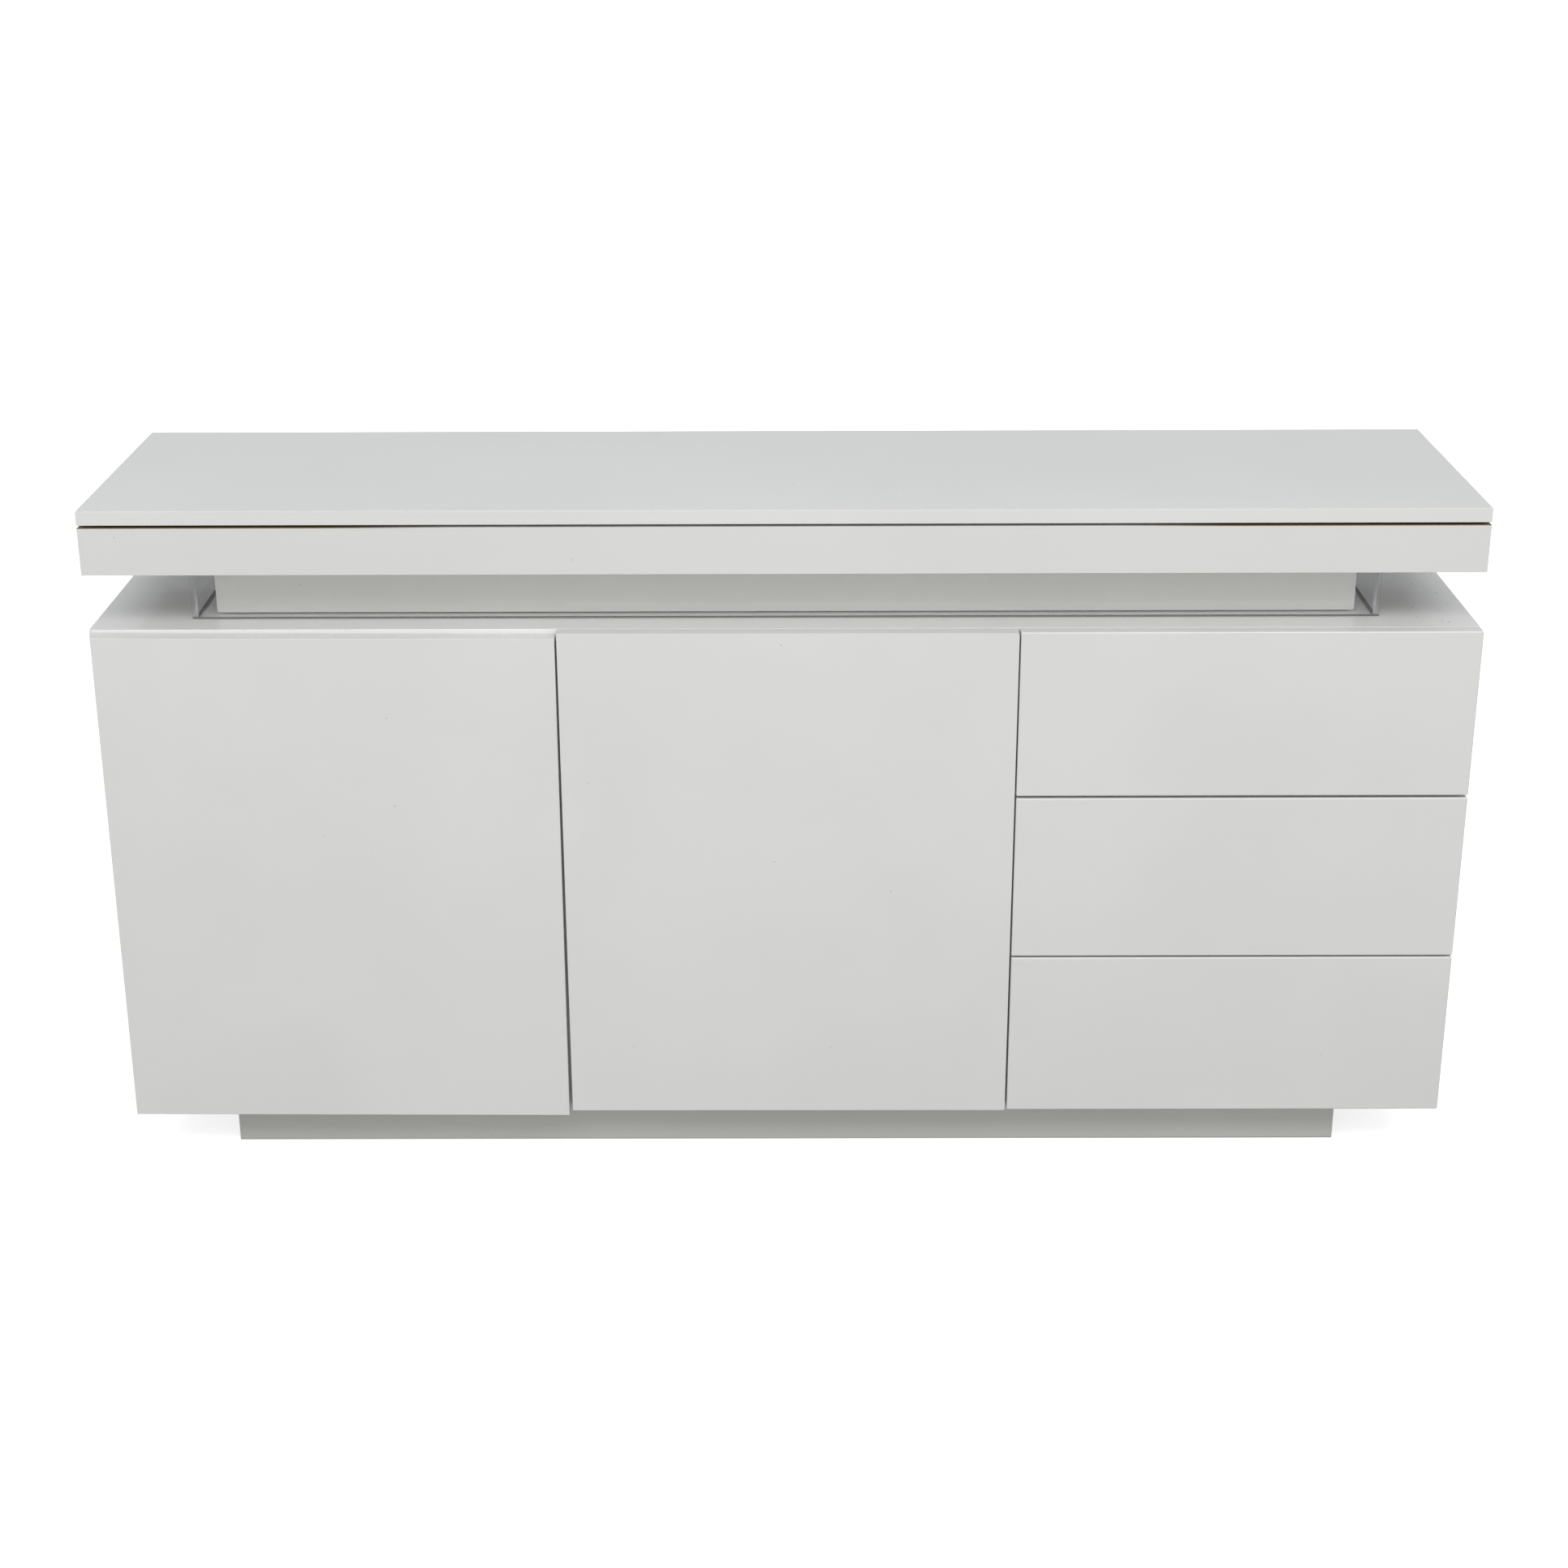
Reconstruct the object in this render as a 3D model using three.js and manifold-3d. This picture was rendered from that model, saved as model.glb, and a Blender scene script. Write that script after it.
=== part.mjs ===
// A long white sideboard: a handleless cabinet with two doors and three drawers on a recessed
// plinth, and a floating top box that stands over it on a spacer frame behind clear panes.
// Millimetres, +Z up, +X to the right and -Y to the front of the cabinet.
// The origin is the middle of the footprint, on the floor.
import * as THREE from "three";
import { mergeVertices } from "three/addons/utils/BufferGeometryUtils.js";
import Module from "manifold-3d";

const wasm = await Module();
wasm.setup();

// ---- driving dimensions ----
const WIDTH = 1750;
const DEPTH = 428;
const BOARD = 18; // lacquered board of the cabinet, the fronts and the top
const FIT = 0.3; // gap left where two pieces meet

const PLINTH_HEIGHT = 71;
const PLINTH_WIDTH = 1496;
const PLINTH_SET_BACK = 50; // behind the fronts
const PLINTH_BACK_INSET = 30;

const CABINET_HEIGHT = 672.5;
const BACK_PANEL = 4;
const BUFFER_GAP = 2; // air behind a closed front
const DIVIDER_DOORS_X = -286.3;
const DIVIDER_DRAWERS_X = 294.8;
const SHELF_TOP = 418;
const SHELF_SET_BACK = 12;
const SHELF_PLAY = 1;

const RECESS_HEIGHT = 74.5; // open band between the cabinet and the top box
const RECESS_CENTRE = 1.6; // the spacer and the panes stand a little right of the middle
const PANE = 4;
const PANE_WIDTH = 1510.5; // of the front pane, which covers the end panes' edges
const END_PANE_INSET = 3.5; // from the front pane's end to the end pane's outer face
const PANE_SET_BACK = 64.5;
const PANE_GAP = 0.6; // above and below the panes
const SPACER_WIDTH = 1455.6;
const SPACER_SET_BACK = 86;
const SPACER_SHADOW_GAP = 1.6; // under the spacer's front board
const SPACER_CORNER = 3;

const TOP_SET_BACK = 12.5; // front of the top panel behind the fronts
const FASCIA_HEIGHT = 61;
const FASCIA_DROOP = 1.5; // at its unsupported ends
const FASCIA_STEPS = 12;
const TOP_SHADOW_GAP = 1.8; // between the fascia's middle and the top panel
const TOP_FRAME_INSET = 120;
const TOP_FRAME_STRIP = 60;

const OPENING_ANGLE = THREE.MathUtils.degToRad(100);
const LEFT_DOOR = {
  name: "left_door",
  side: "left_side",
  left: -869.5,
  width: 582,
  height: 672.5,
  drop: 4.6, // it hangs a little low and turned clockwise
  tilt: THREE.MathUtils.degToRad(0.25),
  wallFace: -WIDTH / 2 + BOARD,
};
const MIDDLE_DOOR = {
  name: "middle_door",
  side: "divider_doors",
  left: -284.9,
  width: 580,
  height: 672.3,
  drop: 0,
  tilt: THREE.MathUtils.degToRad(0.07),
  wallFace: DIVIDER_DOORS_X + BOARD / 2,
};

// Cup hinges, in the door's own corner frame: x from its hinged edge, y from its front face.
const HINGE_INSETS = [95, 577]; // from the door's top edge to each hinge
const DOOR_AXIS = [5, 4.5];
const CUP_CENTRE_X = 20.5;
const CUP_RADIUS = 17.2;
const CUP_DEPTH = 12;
const CUP_WALL = 1.3;
const CUP_FLANGE = [18, 0.9, 50];
const CUP_NOTCH = [3, 12, 9]; // in the rim, where the link passes: width, lowest y, height
const CUP_PIVOT = [7.2, 13.7];
const LINK_PIVOT_REACH = 29.4; // from the door's axis to the arm's pivot
const LINK_PLAY = 1.3; // the link stops this short of the cup's own pivot
const LINK_KNEE = [19, 3.2]; // along and beside the line from the arm's pivot to the cup's
const LINK_WIDTH = 1.8;
const LINK_HEIGHT = 6;
const EYE_RADIUS = 3.2;
const EYE_HOLE_RADIUS = 1.8;
const PIN_RADIUS = 1.5;
const CHEEK = 2;
const ARM_LENGTH = 58;
const ARM_PLATE = [2, 44, 46];

// Push latches under the cabinet's top board.
const LATCH_FROM_FREE_EDGE = 70;
const LATCH_BODY = [15, 84, 14];
const LATCH_BORE_RADIUS = 4.6;
const LATCH_BORE_DEPTH = 66;
const PLUNGER_RADIUS = 4;
const PLUNGER_LENGTH = 62;

// Drawers: fronts from the lowest up.
const DRAWER_LEFT = 297;
const DRAWER_WIDTH = 578;
const DRAWER_FRONT_HEIGHTS = [224.5, 221.8, 220];
const DRAWER_FRONT_BOTTOMS = [71, 298.2, 523.5];
const DRAWER_NAMES = ["lower_drawer", "middle_drawer", "upper_drawer"];
const DRAWER_BOX_RISE = 36; // from the front's lower edge to the box
const DRAWER_BOX_HEIGHT = 150;
const DRAWER_BOX_LENGTH = 362;
const DRAWER_SIDE = 12;
const DRAWER_BOTTOM = 5;
const DRAWER_BOTTOM_RISE = 11;
const GROOVE_DEPTH = 5;
const RUNNER_SPACE = 12.7;
const RUNNER_LENGTH = 352;
const RUNNER_HEIGHT = 45;
const RUNNER_DEPTH = 6;
const RUNNER_STEEL = 1.2;
const RUNNER_LIP = 7;
const CURVE_STEPS = 24;

// ---- levels and planes that follow from them ----
const FRONT = -DEPTH / 2;
const REAR = DEPTH / 2;
const HALF = WIDTH / 2;
const CABINET_FRONT = FRONT + BOARD + BUFFER_GAP;
const CABINET_REAR = REAR - BACK_PANEL - FIT;
const CABINET_TOP = PLINTH_HEIGHT + CABINET_HEIGHT;
const INNER_BOTTOM = PLINTH_HEIGHT + BOARD;
const INNER_TOP = CABINET_TOP - BOARD;
const TOP_BOX_BOTTOM = CABINET_TOP + RECESS_HEIGHT;
const TOP_BOX_TOP = TOP_BOX_BOTTOM + FASCIA_HEIGHT;
const TOP_UNDERSIDE = TOP_BOX_TOP + TOP_SHADOW_GAP;
const TOP_FRONT = FRONT + TOP_SET_BACK;

// ---- finishes ----
function finish(color, roughness, metalness = 0) {
  return new THREE.MeshStandardMaterial({ color, roughness, metalness });
}
const LACQUER = finish(0xd5d6d2, 0.3);
const MELAMINE = finish(0xd0d1cc, 0.5);
const HARDBOARD = finish(0xc9c8c0, 0.7);
const STEEL = finish(0xb4b6b8, 0.32, 0.9);
const NYLON = finish(0xbcbdba, 0.55);
const CLEAR = new THREE.MeshStandardMaterial({
  color: 0xe4e9ea,
  roughness: 0.05,
  transparent: true,
  opacity: 0.25,
});

// ---- making solids ----
function solid(geometry) {
  const bare = geometry.clone();
  bare.deleteAttribute("normal");
  bare.deleteAttribute("uv");
  const merged = mergeVertices(bare, 1e-4);
  return new wasm.Manifold(
    new wasm.Mesh({
      numProp: 3,
      vertProperties: merged.attributes.position.array,
      triVerts: new Uint32Array(merged.index.array),
    }),
  );
}

function geometryOf(manifold) {
  const mesh = manifold.getMesh();
  const geometry = new THREE.BufferGeometry();
  geometry.setAttribute("position", new THREE.BufferAttribute(mesh.vertProperties, 3));
  geometry.setIndex(new THREE.BufferAttribute(mesh.triVerts, 1));
  geometry.computeVertexNormals();
  return geometry;
}

// A box between two corners.
function boxBetween([x0, y0, z0], [x1, y1, z1]) {
  const geometry = new THREE.BoxGeometry(x1 - x0, y1 - y0, z1 - z0);
  return geometry.translate((x0 + x1) / 2, (y0 + y1) / 2, (z0 + z1) / 2);
}

// A rod along Y (or along Z) that starts at a point.
function rodAlongY(radius, length, [x, y, z]) {
  return new THREE.CylinderGeometry(radius, radius, length, CURVE_STEPS).translate(x, y + length / 2, z);
}
function rodAlongZ(radius, length, [x, y, z]) {
  const geometry = new THREE.CylinderGeometry(radius, radius, length, CURVE_STEPS);
  return geometry.rotateX(Math.PI / 2).translate(x, y, z + length / 2);
}

function add(group, name, geometry, material) {
  const mesh = new THREE.Mesh(geometry, material);
  mesh.name = name;
  group.add(mesh);
  return mesh;
}

function board(group, name, low, high, material = MELAMINE) {
  return add(group, name, boxBetween(low, high), material);
}

// ---- plinth: four rails on edge, set back under the cabinet ----
function plinth() {
  const group = new THREE.Group();
  const side = PLINTH_WIDTH / 2;
  const front = FRONT + PLINTH_SET_BACK;
  const rear = REAR - PLINTH_BACK_INSET;
  const top = PLINTH_HEIGHT - FIT;
  board(group, "plinth_front", [-side, front, 0], [side, front + BOARD, top], LACQUER);
  board(group, "plinth_back", [-side, rear - BOARD, 0], [side, rear, top]);
  const [y0, y1] = [front + BOARD + FIT, rear - BOARD - FIT];
  board(group, "plinth_left", [-side, y0, 0], [-side + BOARD, y1, top], LACQUER);
  board(group, "plinth_right", [side - BOARD, y0, 0], [side, y1, top], LACQUER);
  return group;
}

// ---- carcass: sides and dividers between a full-width bottom and top board ----
function upright(group, name, x, front, material) {
  const [z0, z1] = [INNER_BOTTOM + FIT, INNER_TOP - FIT];
  board(group, name, [x - BOARD / 2, front, z0], [x + BOARD / 2, CABINET_REAR, z1], material);
}

function shelf(group, name, left, right) {
  const front = CABINET_FRONT + SHELF_SET_BACK;
  const low = [left + SHELF_PLAY, front, SHELF_TOP - BOARD];
  board(group, name, low, [right - SHELF_PLAY, CABINET_REAR - FIT, SHELF_TOP]);
}

function carcass() {
  const group = new THREE.Group();
  const edge = CABINET_FRONT;
  const rear = CABINET_REAR;
  board(group, "bottom_panel", [-HALF, edge, PLINTH_HEIGHT], [HALF, rear, INNER_BOTTOM], LACQUER);
  board(group, "cabinet_top", [-HALF, edge, INNER_TOP], [HALF, rear, CABINET_TOP], LACQUER);
  upright(group, "left_side", -HALF + BOARD / 2, edge, LACQUER);
  upright(group, "right_side", HALF - BOARD / 2, edge, LACQUER);
  upright(group, "divider_doors", DIVIDER_DOORS_X, edge);
  upright(group, "divider_drawers", DIVIDER_DRAWERS_X, edge);
  const inset = 2;
  const low = [-HALF + inset, REAR - BACK_PANEL, PLINTH_HEIGHT + inset];
  board(group, "back_panel", low, [HALF - inset, REAR, CABINET_TOP - inset], HARDBOARD);
  shelf(group, "shelf_left", -HALF + BOARD, DIVIDER_DOORS_X - BOARD / 2);
  shelf(group, "shelf_middle", DIVIDER_DOORS_X + BOARD / 2, DIVIDER_DRAWERS_X - BOARD / 2);
  return group;
}

// ---- recess: a spacer frame carries the top box, clear panes stand round it ----
function roundedPlate(width, height, radius) {
  const half = width / 2;
  const shape = new THREE.Shape();
  shape.moveTo(-half, height);
  shape.lineTo(-half, radius);
  shape.absarc(-half + radius, radius, radius, Math.PI, Math.PI * 1.5, false);
  shape.lineTo(half - radius, 0);
  shape.absarc(half - radius, radius, radius, Math.PI * 1.5, Math.PI * 2, false);
  shape.lineTo(half, height);
  return shape;
}

function spacer() {
  const group = new THREE.Group();
  const half = SPACER_WIDTH / 2;
  const front = FRONT + SPACER_SET_BACK;
  const rear = CABINET_REAR;
  const [z0, z1] = [CABINET_TOP + FIT, TOP_BOX_BOTTOM - FIT];
  const lift = CABINET_TOP + SPACER_SHADOW_GAP;
  const plate = new THREE.ExtrudeGeometry(roundedPlate(SPACER_WIDTH, z1 - lift, SPACER_CORNER), {
    depth: BOARD,
    bevelEnabled: false,
    curveSegments: 6,
  });
  plate.rotateX(Math.PI / 2).translate(0, front + BOARD, lift);
  add(group, "spacer_front", plate, LACQUER);
  board(group, "spacer_back", [-half, rear - BOARD, z0], [half, rear, z1]);
  const [y0, y1] = [front + BOARD + FIT, rear - BOARD - FIT];
  board(group, "spacer_left", [-half, y0, z0], [-half + BOARD, y1, z1], LACQUER);
  board(group, "spacer_right", [half - BOARD, y0, z0], [half, y1, z1], LACQUER);
  group.position.x = RECESS_CENTRE;
  return group;
}

function panes() {
  const group = new THREE.Group();
  const half = PANE_WIDTH / 2;
  const front = FRONT + PANE_SET_BACK;
  const [z0, z1] = [CABINET_TOP + PANE_GAP, TOP_BOX_BOTTOM - PANE_GAP];
  board(group, "pane_front", [-half, front, z0], [half, front + PANE, z1], CLEAR);
  const outer = half - END_PANE_INSET;
  const behind = front + PANE + FIT;
  board(group, "pane_left", [-outer, behind, z0], [-outer + PANE, CABINET_REAR, z1], CLEAR);
  board(group, "pane_right", [outer - PANE, behind, z0], [outer, CABINET_REAR, z1], CLEAR);
  group.position.x = RECESS_CENTRE;
  return group;
}

// ---- top box: fascia and rails round an underside board, a frame inside lifts the top panel ----
function topFrameRing(width, depth) {
  const outline = new THREE.Shape();
  outline.moveTo(-width / 2, -depth / 2);
  outline.lineTo(width / 2, -depth / 2);
  outline.lineTo(width / 2, depth / 2);
  outline.lineTo(-width / 2, depth / 2);
  const [w, d] = [width / 2 - TOP_FRAME_STRIP, depth / 2 - TOP_FRAME_STRIP];
  const hole = new THREE.Path();
  hole.moveTo(-w, -d);
  hole.lineTo(-w, d);
  hole.lineTo(w, d);
  hole.lineTo(w, -d);
  outline.holes.push(hole);
  return outline;
}

// Front elevation of the fascia: its unsupported ends hang a little lower than its middle.
function fasciaOutline() {
  const droop = (x) => -FASCIA_DROOP * (x / HALF) ** 2;
  const xs = Array.from({ length: FASCIA_STEPS + 1 }, (_, i) => -HALF + (WIDTH * i) / FASCIA_STEPS);
  const lower = xs.map((x) => new THREE.Vector2(x, droop(x)));
  const upper = xs.toReversed().map((x) => new THREE.Vector2(x, FASCIA_HEIGHT + droop(x)));
  return new THREE.Shape([...lower, ...upper]);
}

function topBox() {
  const group = new THREE.Group();
  const [z0, z1] = [TOP_BOX_BOTTOM, TOP_BOX_TOP];
  const inner = HALF - BOARD - FIT;
  const behind = TOP_FRONT + BOARD + FIT;
  const fascia = new THREE.ExtrudeGeometry(fasciaOutline(), { depth: BOARD, bevelEnabled: false });
  fascia.rotateX(Math.PI / 2).translate(0, TOP_FRONT + BOARD, z0);
  add(group, "fascia_front", fascia, LACQUER);
  board(group, "top_rail_left", [-HALF, behind, z0], [-HALF + BOARD, REAR, z1], LACQUER);
  board(group, "top_rail_right", [HALF - BOARD, behind, z0], [HALF, REAR, z1], LACQUER);
  board(group, "top_rail_back", [-inner, REAR - BOARD, z0], [inner, REAR, z1]);
  const underTop = z0 + BOARD;
  board(group, "top_box_floor", [-inner, behind, z0], [inner, REAR - BOARD - FIT, underTop]);
  const width = WIDTH - 2 * TOP_FRAME_INSET;
  const depth = REAR - TOP_FRONT - TOP_FRAME_INSET;
  const ring = new THREE.ExtrudeGeometry(topFrameRing(width, depth), {
    depth: TOP_UNDERSIDE - underTop - 2 * FIT,
    bevelEnabled: false,
  });
  ring.translate(0, (REAR + TOP_FRONT) / 2, underTop + FIT);
  add(group, "top_frame", ring, MELAMINE);
  const top = TOP_UNDERSIDE + BOARD;
  board(group, "top_panel", [-HALF, TOP_FRONT, TOP_UNDERSIDE], [HALF, REAR, top], LACQUER);
  return group;
}

// ---- doors on cup hinges ----
function turned([x, y], angle) {
  const [c, s] = [Math.cos(angle), Math.sin(angle)];
  return [x * c - y * s, x * s + y * c];
}

// The arm's pivot is as far from the cup's pivot when the door is shut as when it stands open.
function armPivot() {
  const out = [CUP_PIVOT[0] - DOOR_AXIS[0], CUP_PIVOT[1] - DOOR_AXIS[1]];
  const half = turned(out, -OPENING_ANGLE / 2);
  const scale = LINK_PIVOT_REACH / Math.hypot(...half);
  return [DOOR_AXIS[0] + half[0] * scale, DOOR_AXIS[1] + half[1] * scale];
}

// The cups stand one above the other though the door hangs turned.
function cupCentre({ height, tilt }, inset) {
  return CUP_CENTRE_X + (inset - height / 2) * Math.tan(tilt);
}

// Door board with its two cup bores: x from the hinged edge, y from the front, z down from the top.
function doorBoard(spec) {
  const { width, height } = spec;
  let panel = solid(boxBetween([0, 0, -height], [width, BOARD, 0]));
  const depth = CUP_DEPTH + FIT;
  for (const inset of HINGE_INSETS) {
    const mouth = [cupCentre(spec, inset), BOARD - depth, -inset];
    const bore = rodAlongY(CUP_RADIUS + FIT, depth + BOARD, mouth);
    panel = panel.subtract(solid(bore));
  }
  return geometryOf(panel);
}

function hingeCup() {
  const [flangeX, flangeY, flangeZ] = CUP_FLANGE;
  const rim = BOARD + FIT + flangeY;
  const shell = solid(rodAlongY(CUP_RADIUS, rim - BOARD + CUP_DEPTH, [0, BOARD - CUP_DEPTH, 0]));
  const plate = solid(
    boxBetween([-flangeX / 2, BOARD + FIT, -flangeZ / 2], [flangeX / 2, rim, flangeZ / 2]),
  );
  const hollow = rodAlongY(CUP_RADIUS - CUP_WALL, BOARD, [0, BOARD - CUP_DEPTH + CUP_WALL, 0]);
  const [notchX, notchY, notchZ] = CUP_NOTCH;
  const notch = boxBetween(
    [-CUP_RADIUS - 1, notchY, -notchZ / 2],
    [-CUP_RADIUS + notchX, rim + 1, notchZ / 2],
  );
  return geometryOf(shell.add(plate).subtract(solid(hollow)).subtract(solid(notch)));
}

// Arm on the cabinet's wall: mounting plate, body, and two cheeks that hold the link's pin.
function hingeArm(reach) {
  const [plateX, plateY, plateZ] = ARM_PLATE;
  const back = BOARD + BUFFER_GAP;
  const bodyFront = back + 12;
  const half = LINK_HEIGHT / 2 + FIT;
  const [x, y] = [reach, armPivot()[1]];
  const plate = boxBetween([FIT, back + 24, -plateZ / 2], [plateX, back + 24 + plateY, plateZ / 2]);
  const body = boxBetween(
    [plateX - 1, bodyFront, -half - CHEEK],
    [x + EYE_RADIUS, back + ARM_LENGTH, half + CHEEK],
  );
  let arm = solid(plate).add(solid(body));
  for (const z of [-half - CHEEK, half]) {
    const cheek = boxBetween([x - EYE_RADIUS, y, z], [x + EYE_RADIUS, bodyFront + 1, z + CHEEK]);
    arm = arm.add(solid(cheek)).add(solid(rodAlongZ(EYE_RADIUS, CHEEK, [x, y, z])));
  }
  arm = arm.add(solid(rodAlongZ(PIN_RADIUS, 2 * half + CHEEK, [x, y, -half - CHEEK / 2])));
  return geometryOf(arm);
}

// A flat bar on edge between two points of the XY plane, with a round far end.
function linkBar([x0, y0], [x1, y1]) {
  const [half, low] = [LINK_WIDTH / 2, -LINK_HEIGHT / 2];
  const length = Math.hypot(x1 - x0, y1 - y0);
  const bar = boxBetween([0, -half, low], [length, half, -low]);
  bar.rotateZ(Math.atan2(y1 - y0, x1 - x0)).translate(x0, y0, 0);
  return solid(bar).add(solid(rodAlongZ(half, LINK_HEIGHT, [x1, y1, low])));
}

// Link: a bent plate from the eye on the arm's pin to a round tip in the cup.
function hingeLink(length) {
  const eye = solid(rodAlongZ(EYE_RADIUS, LINK_HEIGHT, [0, 0, -LINK_HEIGHT / 2]));
  const hole = solid(rodAlongZ(EYE_HOLE_RADIUS, 2 * LINK_HEIGHT, [0, 0, -LINK_HEIGHT]));
  const plate = linkBar([0, 0], LINK_KNEE).add(linkBar(LINK_KNEE, [length, 0]));
  return geometryOf(plate.add(eye).subtract(hole));
}

function door(spec) {
  const group = new THREE.Group();
  const leaf = new THREE.Group();
  const top = CABINET_TOP - spec.drop;
  leaf.position.set(spec.left, FRONT, top);
  leaf.rotation.y = spec.tilt;
  add(leaf, spec.name, doorBoard(spec), LACQUER);
  group.add(leaf);

  const pivot = armPivot();
  const toCup = [CUP_PIVOT[0] - pivot[0], CUP_PIVOT[1] - pivot[1]];
  const length = Math.hypot(...toCup) - LINK_PLAY;
  const edge = spec.left - (spec.height / 2) * Math.sin(spec.tilt); // at half height
  ["upper", "lower"].forEach((place, i) => {
    const inset = HINGE_INSETS[i];
    const suffix = `${place}_${spec.name.split("_")[0]}`;
    const cup = add(leaf, `hinge_cup_${suffix}`, hingeCup(), STEEL);
    cup.position.set(cupCentre(spec, inset), 0, -inset);

    const hung = new THREE.Group();
    hung.position.set(edge, FRONT, top - inset - CUP_CENTRE_X * Math.sin(spec.tilt));
    const reach = edge + pivot[0] - spec.wallFace;
    const arm = add(hung, `hinge_arm_${suffix}`, hingeArm(reach), STEEL);
    arm.position.x = spec.wallFace - edge;
    const link = add(hung, `hinge_link_${suffix}`, hingeLink(length), STEEL);
    link.position.set(pivot[0], pivot[1], 0);
    link.rotation.z = Math.atan2(toCup[1], toCup[0]);
    group.add(hung);
  });

  const latch = pushLatch(spec.name.split("_")[0]);
  latch.position.x = spec.left + spec.width - LATCH_FROM_FREE_EDGE;
  group.add(latch);
  return group;
}

function pushLatch(place) {
  const group = new THREE.Group();
  const [width, length, height] = LATCH_BODY;
  const top = INNER_TOP - FIT;
  const front = CABINET_FRONT + 3;
  const axis = top - height / 2;
  const block = solid(
    boxBetween([-width / 2, front, top - height], [width / 2, front + length, top]),
  );
  const bore = rodAlongY(LATCH_BORE_RADIUS, LATCH_BORE_DEPTH + 1, [0, front - 1, axis]);
  add(group, `latch_body_${place}`, geometryOf(block.subtract(solid(bore))), NYLON);
  const tip = FRONT + BOARD + FIT;
  const plunger = rodAlongY(PLUNGER_RADIUS, PLUNGER_LENGTH, [0, tip, axis]);
  add(group, `latch_plunger_${place}`, plunger, NYLON);
  return group;
}

// ---- drawers: a front, a folded wrap of sides and back, a grooved-in bottom, and runners ----
function drawerWrap(left, right, front) {
  const shape = new THREE.Shape();
  const back = front + DRAWER_BOX_LENGTH;
  shape.moveTo(left, front);
  shape.lineTo(left, back);
  shape.lineTo(right, back);
  shape.lineTo(right, front);
  shape.lineTo(right - DRAWER_SIDE, front);
  shape.lineTo(right - DRAWER_SIDE, back - DRAWER_SIDE);
  shape.lineTo(left + DRAWER_SIDE, back - DRAWER_SIDE);
  shape.lineTo(left + DRAWER_SIDE, front);
  return new THREE.ExtrudeGeometry(shape, { depth: DRAWER_BOX_HEIGHT, bevelEnabled: false });
}

// Cabinet half of a ball-bearing runner: a lipped channel, open away from the wall.
function runnerChannel() {
  const [h, d, t, lip] = [RUNNER_HEIGHT / 2, RUNNER_DEPTH, RUNNER_STEEL, RUNNER_LIP];
  const shape = new THREE.Shape();
  shape.moveTo(0, -h);
  shape.lineTo(d, -h);
  shape.lineTo(d, -h + lip);
  shape.lineTo(d - t, -h + lip);
  shape.lineTo(d - t, -h + t);
  shape.lineTo(t, -h + t);
  shape.lineTo(t, h - t);
  shape.lineTo(d - t, h - t);
  shape.lineTo(d - t, h - lip);
  shape.lineTo(d, h - lip);
  shape.lineTo(d, h);
  shape.lineTo(0, h);
  const geometry = new THREE.ExtrudeGeometry(shape, { depth: RUNNER_LENGTH, bevelEnabled: false });
  return geometry.rotateX(Math.PI / 2).translate(0, RUNNER_LENGTH, 0);
}

function drawer(index) {
  const group = new THREE.Group();
  const name = DRAWER_NAMES[index];
  const bottom = DRAWER_FRONT_BOTTOMS[index];
  const top = bottom + DRAWER_FRONT_HEIGHTS[index];
  board(
    group,
    `${name}_front`,
    [DRAWER_LEFT, FRONT, bottom],
    [DRAWER_LEFT + DRAWER_WIDTH, FRONT + BOARD, top],
    LACQUER,
  );

  const wallLeft = DIVIDER_DRAWERS_X + BOARD / 2;
  const wallRight = HALF - BOARD;
  const [left, right] = [wallLeft + RUNNER_SPACE, wallRight - RUNNER_SPACE];
  const front = FRONT + BOARD + FIT;
  const boxBottom = bottom + DRAWER_BOX_RISE;
  const wrap = drawerWrap(left, right, front).translate(0, 0, boxBottom);
  const inner = [left + DRAWER_SIDE - GROOVE_DEPTH, right - DRAWER_SIDE + GROOVE_DEPTH];
  const grooveEnd = front + DRAWER_BOX_LENGTH - DRAWER_SIDE + GROOVE_DEPTH;
  const floor = boxBottom + DRAWER_BOTTOM_RISE;
  const groove = boxBetween(
    [inner[0], front - 1, floor - FIT],
    [inner[1], grooveEnd, floor + DRAWER_BOTTOM + FIT],
  );
  add(group, `${name}_wrap`, geometryOf(solid(wrap).subtract(solid(groove))), MELAMINE);
  const low = [inner[0] + FIT, front + FIT, floor];
  const high = [inner[1] - FIT, grooveEnd - FIT, floor + DRAWER_BOTTOM];
  board(group, `${name}_bottom`, low, high, HARDBOARD);

  const level = boxBottom + DRAWER_BOX_HEIGHT / 2;
  const runnerFront = CABINET_FRONT + 3;
  const runnerLeft = add(group, `${name}_runner_left`, runnerChannel(), STEEL);
  runnerLeft.position.set(wallLeft + FIT, runnerFront, level);
  const runnerRight = add(group, `${name}_runner_right`, runnerChannel(), STEEL);
  runnerRight.position.set(wallRight - FIT, runnerFront + RUNNER_LENGTH, level);
  runnerRight.rotation.z = Math.PI;
  return group;
}

const sideboard = new THREE.Group();
sideboard.add(plinth(), carcass(), spacer(), panes(), topBox());
sideboard.add(door(LEFT_DOOR), door(MIDDLE_DOOR));
DRAWER_NAMES.forEach((_, index) => sideboard.add(drawer(index)));

export default sideboard;
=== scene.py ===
"""A long white sideboard in satin lacquer: looks, small fittings, light and camera round the CAD model.

Metres, +Z up, +X to the right and -Y to the front of the cabinet. The fittings' places come from the
boxes of CAD nodes.
"""

import math

import bmesh
import bpy
from mathutils import Matrix, Vector


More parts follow.
